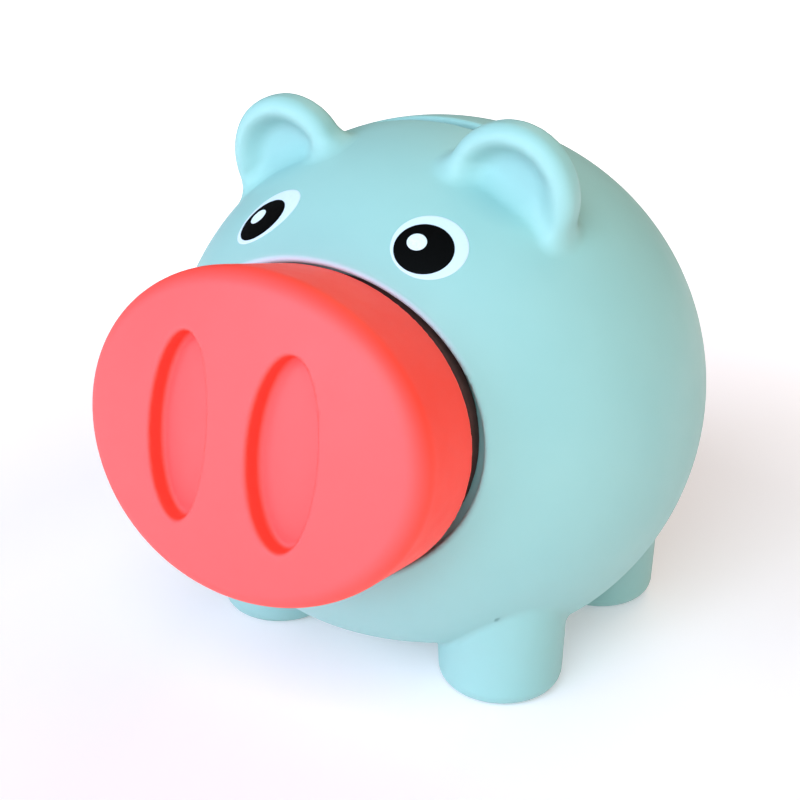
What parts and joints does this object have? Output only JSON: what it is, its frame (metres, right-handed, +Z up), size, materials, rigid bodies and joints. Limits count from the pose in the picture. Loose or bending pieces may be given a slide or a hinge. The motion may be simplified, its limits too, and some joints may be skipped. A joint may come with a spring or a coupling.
{
  "type": "piggy bank",
  "caption": "Round pig-shaped coin bank on stub legs with cupped ears, a coin slot in its crown and a large oval nose that pulls out of the face to empty it.",
  "frame": {"origin": "on the ground plane, under the middle of the bank's overall length and width", "axes": "+Z up, -Y the way the pig faces, +X to the pig's left; the bank is longest along Y"},
  "size_m": [0.13, 0.15, 0.131],
  "materials": {
    "body_vinyl": "soft matte aqua vinyl",
    "nose_vinyl": "soft matte coral vinyl",
    "plug_vinyl": "matte coral vinyl",
    "seal_foam": "dark matte foam rubber",
    "eye_white_ink": "satin printed ink",
    "pupil_ink": "satin printed ink",
    "glint_ink": "satin printed ink"
  },
  "bodies": {
    "bank": {"body_shell": "body_vinyl", "eye_white_left": "eye_white_ink", "pupil_left": "pupil_ink", "glint_left": "glint_ink", "eye_white_right": "eye_white_ink", "pupil_right": "pupil_ink", "glint_right": "glint_ink"},
    "nose": {"nose_cap": "nose_vinyl", "nose_plug": "plug_vinyl", "nose_seal": "seal_foam"}
  },
  "joints": [
    {"name": "nose_pull", "type": "slide", "parent": "bank", "child": "nose", "axis": [0, -0.9829, 0.184], "range_m": [0, 0.045]}
  ]
}
